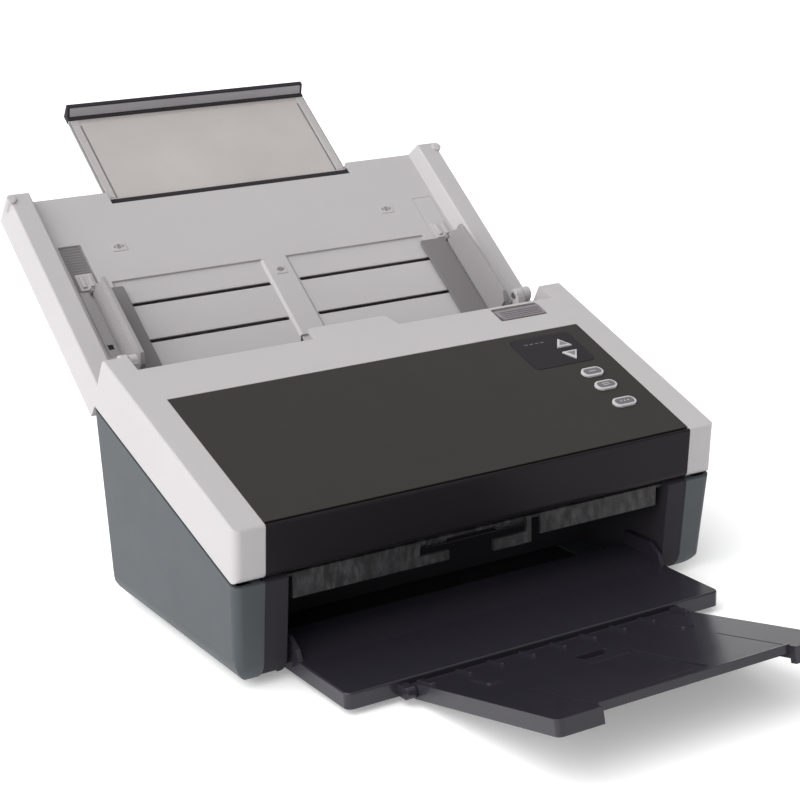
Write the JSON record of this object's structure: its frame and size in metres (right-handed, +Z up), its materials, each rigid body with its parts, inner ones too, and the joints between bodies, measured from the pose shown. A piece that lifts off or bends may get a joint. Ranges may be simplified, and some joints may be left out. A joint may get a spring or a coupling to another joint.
{
  "type": "sheet fed document scanner",
  "caption": "Desktop sheet fed document scanner with a sloping input tray, a hinged cover with keys and an exit tray with a fold-up flap.",
  "frame": {"origin": "on the table, under the middle of the scanner's bounding box", "axes": "+X to the right seen from the front, +Y from the front to the rear, +Z up"},
  "size_m": [0.316, 0.5348, 0.262],
  "materials": {
    "light_plastic": "fine satin",
    "dark_panel": "satin",
    "black_gloss": "gloss",
    "body_grey": "fine texture",
    "inner_black": "matte",
    "tray_black": "satin gloss",
    "mid_grey": "satin",
    "path_grey": "fine texture",
    "guide_grey": "satin",
    "key_plastic": "satin",
    "smoke": "translucent smoke",
    "steel": "bright",
    "screw_steel": "dark zinc",
    "motor_steel": "zinc",
    "rubber": "matte",
    "grey_rubber": "matte",
    "window_glass": "clear",
    "board_green": "soldermask",
    "bushing": "acetal",
    "connector": "gloss"
  },
  "bodies": {
    "base": {"base_housing": "body_grey", "bottom_plate": "inner_black", "bottom_screws": "screw_steel", "rubber_feet": "rubber", "cavity_liner": "inner_black", "chassis_left": "steel", "chassis_right": "steel", "shaft_bearings": "bushing", "lower_paper_guide": "path_grey", "lower_scan_module": "inner_black", "lower_scan_glass": "window_glass", "drive_motor": "motor_steel", "drive_belt": "rubber", "main_board": "board_green", "power_jack": "connector", "usb_port": "steel", "tray_hinge_brackets": "light_plastic", "tray_hinge_pins": "steel", "cover_hinge_pins": "steel"},
    "motor_pulley": {"motor_pulley": "bushing"},
    "exit_roller": {"exit_roller_shaft": "steel", "exit_roller_tyres": "grey_rubber"},
    "drive_roller": {"drive_roller_shaft": "steel", "drive_roller_tyres": "grey_rubber"},
    "feed_roller": {"feed_roller_shaft": "steel", "feed_roller_tyres": "grey_rubber"},
    "cover": {"cover_frame": "light_plastic", "top_panel": "dark_panel", "front_fascia": "black_gloss", "display_window": "black_gloss", "control_board": "board_green", "upper_paper_guide": "path_grey", "upper_scan_module": "inner_black", "upper_scan_glass": "window_glass"},
    "release_latch": {"release_latch": "mid_grey"},
    "up_button": {"up_button": "key_plastic"},
    "down_button": {"down_button": "key_plastic"},
    "simplex_button": {"simplex_button": "key_plastic"},
    "duplex_button": {"duplex_button": "key_plastic"},
    "function_button": {"function_button": "key_plastic"},
    "exit_idlers": {"exit_idlers": "bushing"},
    "drive_idlers": {"drive_idlers": "bushing"},
    "separation_roller": {"separation_roller": "grey_rubber"},
    "input_tray": {"input_tray": "light_plastic", "tray_back_cover": "light_plastic", "tray_screws": "screw_steel"},
    "guide_slider_left": {"guide_slider_left": "guide_grey"},
    "guide_slider_right": {"guide_slider_right": "guide_grey"},
    "paper_guide_left": {"paper_guide_left": "light_plastic"},
    "paper_guide_right": {"paper_guide_right": "light_plastic"},
    "guide_pinion": {"guide_pinion": "bushing"},
    "tray_extension": {"tray_extension": "smoke", "extension_bar": "inner_black", "extension_lip": "inner_black"},
    "output_tray": {"output_tray": "tray_black", "flap_hinge_pins": "steel"},
    "output_flap": {"output_flap": "tray_black"},
    "paper_stopper": {"paper_stopper": "tray_black"}
  },
  "joints": [
    {"name": "cover_hinge", "type": "hinge", "parent": "base", "child": "cover", "pos_m": [0, -0.08302, 0.06711], "axis": [1, 0, 0], "range_deg": [0, 65]},
    {"name": "release_latch_hinge", "type": "hinge", "parent": "cover", "child": "release_latch", "pos_m": [0.11, 0.04687, 0.14058], "axis": [-1, 0, 0], "range_deg": [0, 25], "stiffness_Nm_per_rad": 0.02, "springref_deg": -2.86},
    {"name": "up_button_press", "type": "slide", "parent": "cover", "child": "up_button", "axis": [0, -0.345, 0.9386], "range_m": [-0.0006, 0], "stiffness_N_per_m": 400},
    {"name": "down_button_press", "type": "slide", "parent": "cover", "child": "down_button", "axis": [0, -0.345, 0.9386], "range_m": [-0.0006, 0], "stiffness_N_per_m": 400},
    {"name": "simplex_button_press", "type": "slide", "parent": "cover", "child": "simplex_button", "axis": [0, -0.345, 0.9386], "range_m": [-0.0006, 0], "stiffness_N_per_m": 400},
    {"name": "duplex_button_press", "type": "slide", "parent": "cover", "child": "duplex_button", "axis": [0, -0.345, 0.9386], "range_m": [-0.0006, 0], "stiffness_N_per_m": 400},
    {"name": "function_button_press", "type": "slide", "parent": "cover", "child": "function_button", "axis": [0, -0.345, 0.9386], "range_m": [-0.0006, 0], "stiffness_N_per_m": 400},
    {"name": "drive_roller_spin", "type": "hinge", "parent": "base", "child": "drive_roller", "pos_m": [0, 0.01835, 0.08679], "axis": [1, 0, 0], "continuous": true},
    {"name": "exit_roller_spin", "type": "hinge", "parent": "base", "child": "exit_roller", "pos_m": [0, -0.0658, 0.05781], "axis": [1, 0, 0], "continuous": true},
    {"name": "feed_roller_spin", "type": "hinge", "parent": "base", "child": "feed_roller", "pos_m": [0, 0.05904, 0.09763], "axis": [1, 0, 0], "continuous": true},
    {"name": "motor_pulley_spin", "type": "hinge", "parent": "base", "child": "motor_pulley", "pos_m": [-0.136, 0.03248, 0.042], "axis": [1, 0, 0], "continuous": true},
    {"name": "exit_idler_spin", "type": "hinge", "parent": "cover", "child": "exit_idlers", "pos_m": [0, -0.07045, 0.07133], "axis": [1, 0, 0], "continuous": true},
    {"name": "drive_idler_spin", "type": "hinge", "parent": "cover", "child": "drive_idlers", "pos_m": [0, 0.0137, 0.10031], "axis": [1, 0, 0], "continuous": true},
    {"name": "separation_roller_spin", "type": "hinge", "parent": "cover", "child": "separation_roller", "pos_m": [0, 0.05243, 0.11682], "axis": [1, 0, 0], "continuous": true},
    {"name": "input_tray_fold", "type": "hinge", "parent": "base", "child": "input_tray", "pos_m": [0, 0.07548, 0.1415], "axis": [-1, 0, 0], "range_deg": [-162, 0]},
    {"name": "guide_slide_left", "type": "slide", "parent": "input_tray", "child": "guide_slider_left", "axis": [1, 0, 0], "range_m": [0, 0.08]},
    {"name": "guide_slide_right", "type": "slide", "parent": "input_tray", "child": "guide_slider_right", "axis": [-1, 0, 0], "range_m": [0, 0.08]},
    {"name": "guide_pinion_spin", "type": "hinge", "parent": "input_tray", "child": "guide_pinion", "pos_m": [0, 0.1241, 0.15022], "axis": [0, 0.6157, -0.788], "range_deg": [0, 510]},
    {"name": "guide_fold_left", "type": "hinge", "parent": "guide_slider_left", "child": "paper_guide_left", "pos_m": [-0.1262, 0.1143, 0.14612], "axis": [0, -0.788, -0.6157], "range_deg": [-90, 0]},
    {"name": "guide_fold_right", "type": "hinge", "parent": "guide_slider_right", "child": "paper_guide_right", "pos_m": [0.1262, 0.1143, 0.14612], "axis": [0, 0.788, 0.6157], "range_deg": [-90, 0]},
    {"name": "tray_extension_slide", "type": "slide", "parent": "input_tray", "child": "tray_extension", "axis": [0, 0.788, 0.6157], "range_m": [-0.066, 0]},
    {"name": "output_tray_slide", "type": "slide", "parent": "base", "child": "output_tray", "axis": [0, -1, 0], "range_m": [-0.044, 0]},
    {"name": "output_flap_fold", "type": "hinge", "parent": "output_tray", "child": "output_flap", "pos_m": [0, -0.14355, 0.00761], "axis": [1, 0, 0], "range_deg": [-79, 0]},
    {"name": "paper_stopper_lift", "type": "hinge", "parent": "output_flap", "child": "paper_stopper", "pos_m": [0, -0.25181, 0.03396], "axis": [1, 0, 0], "range_deg": [0, 88]}
  ],
  "couplings": [
    {"joint": "exit_roller_spin", "follows": "drive_roller_spin", "ratio": 1},
    {"joint": "feed_roller_spin", "follows": "drive_roller_spin", "ratio": 0.77778},
    {"joint": "motor_pulley_spin", "follows": "drive_roller_spin", "ratio": 1.4},
    {"joint": "exit_idler_spin", "follows": "drive_roller_spin", "ratio": -1.3333},
    {"joint": "drive_idler_spin", "follows": "drive_roller_spin", "ratio": -1.3333},
    {"joint": "separation_roller_spin", "follows": "drive_roller_spin", "ratio": -0.95062},
    {"joint": "guide_slide_right", "follows": "guide_slide_left", "ratio": 1},
    {"joint": "guide_pinion_spin", "follows": "guide_slide_left", "rad_per_m": 111.11},
    {"joint": "guide_fold_left", "follows": "input_tray_fold", "ratio": 0.555},
    {"joint": "guide_fold_right", "follows": "input_tray_fold", "ratio": 0.555}
  ]
}
